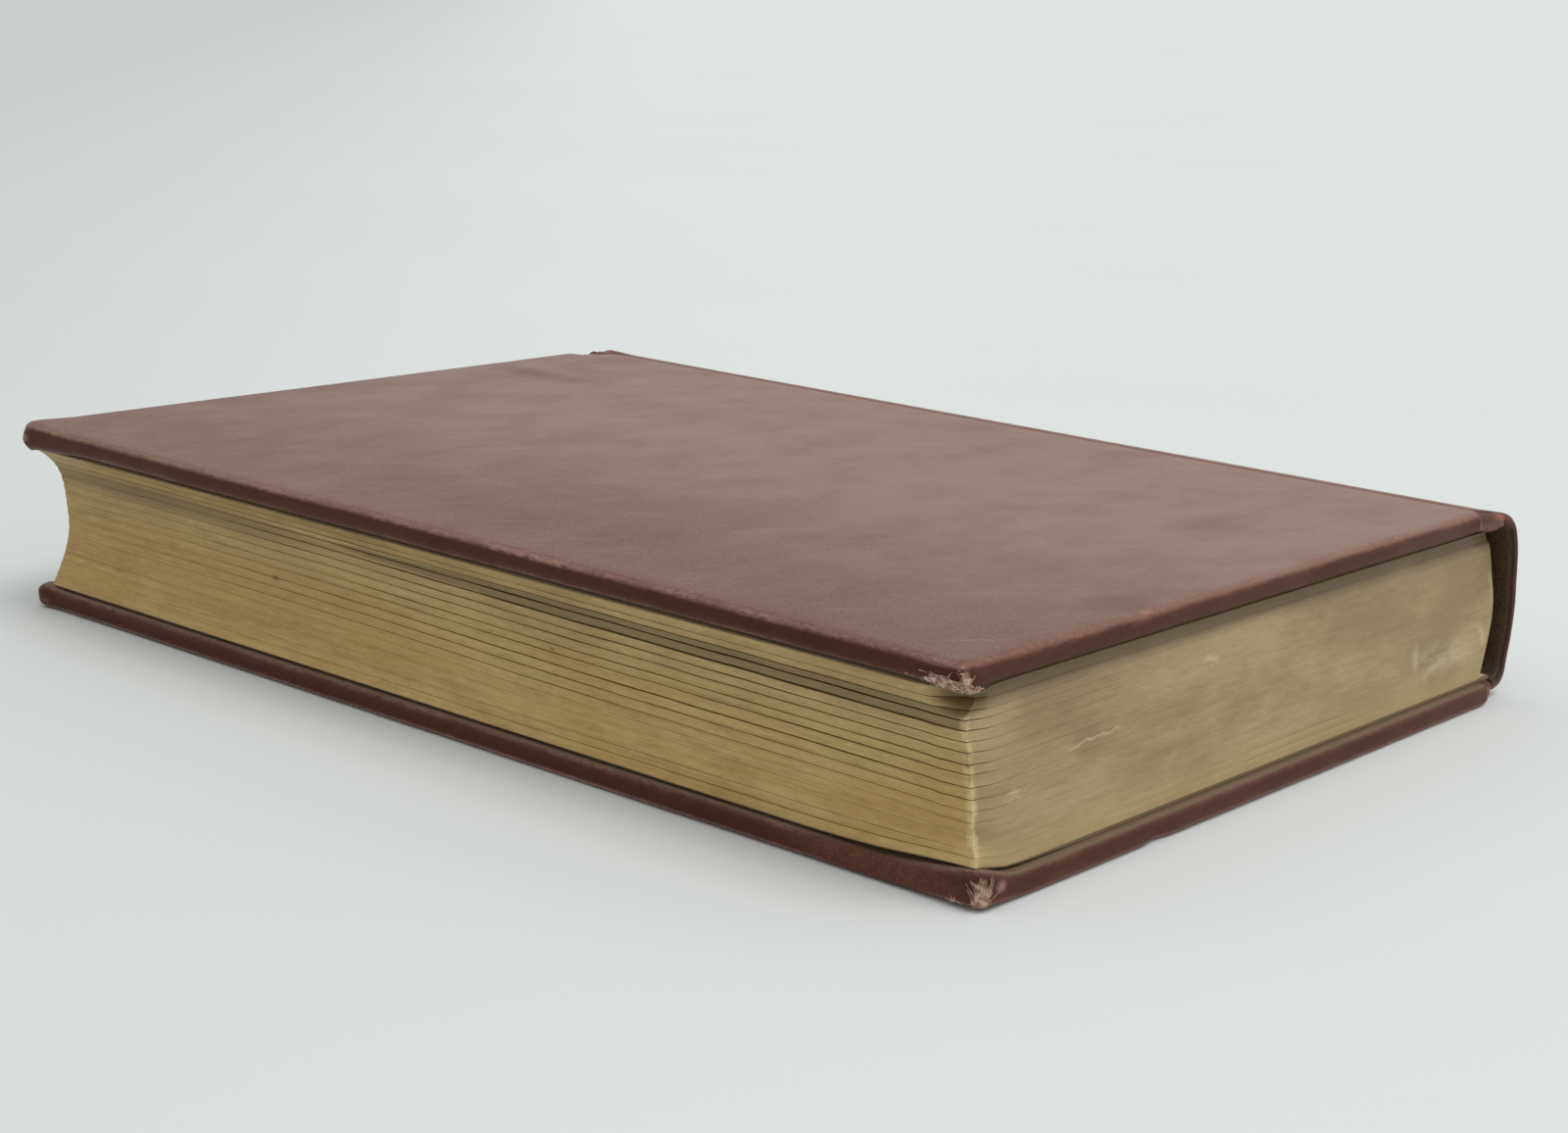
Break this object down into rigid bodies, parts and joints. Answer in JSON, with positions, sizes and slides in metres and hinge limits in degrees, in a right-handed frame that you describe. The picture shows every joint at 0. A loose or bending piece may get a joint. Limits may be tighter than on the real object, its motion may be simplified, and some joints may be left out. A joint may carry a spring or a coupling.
{
  "type": "hardback book",
  "caption": "Case-bound hardback book in worn smooth leather, lying flat, with a rounded text block, dull gilt edges, a hollow back and covers that open on their joints.",
  "frame": {"origin": "middle of the footprint, on the surface that the back cover rests on", "axes": "+X from the spine to the fore-edge, +Y from the tail to the head, +Z out of the front cover"},
  "size_m": [0.188, 0.259, 0.04],
  "materials": {
    "pages": "trimmed and gilded, worn to a dull olive gold",
    "endpaper": "uncoated, toned with age",
    "tape": "woven linen tape",
    "gauze": "open starched cotton gauze",
    "lining_paper": "brown kraft paper",
    "spine_card": "grey-brown card",
    "millboard": "dense grey millboard",
    "infill_card": "thin buff card",
    "leather": "smooth oxblood calf, dusty and rubbed at its edges"
  },
  "bodies": {
    "book_block": {"text_block": "pages", "front_flyleaf": "endpaper", "back_flyleaf": "endpaper", "sewing_tapes": "tape", "mull": "gauze", "back_lining": "lining_paper", "hollow_tube": "lining_paper", "spine_card": "spine_card", "spine_leather": "leather"},
    "front_cover": {"front_board": "millboard", "front_infill": "infill_card", "front_pastedown": "endpaper", "front_leather": "leather"},
    "back_cover": {"back_board": "millboard", "back_infill": "infill_card", "back_pastedown": "endpaper", "back_leather": "leather"}
  },
  "joints": [
    {"name": "front_joint", "type": "hinge", "parent": "book_block", "child": "front_cover", "pos_m": [-0.08157, 0, 0.0398], "axis": [0, -1, 0], "range_deg": [0, 175]},
    {"name": "back_joint", "type": "hinge", "parent": "book_block", "child": "back_cover", "pos_m": [-0.08228, 0, 0.0002], "axis": [0, 1, 0], "range_deg": [0, 175]}
  ]
}
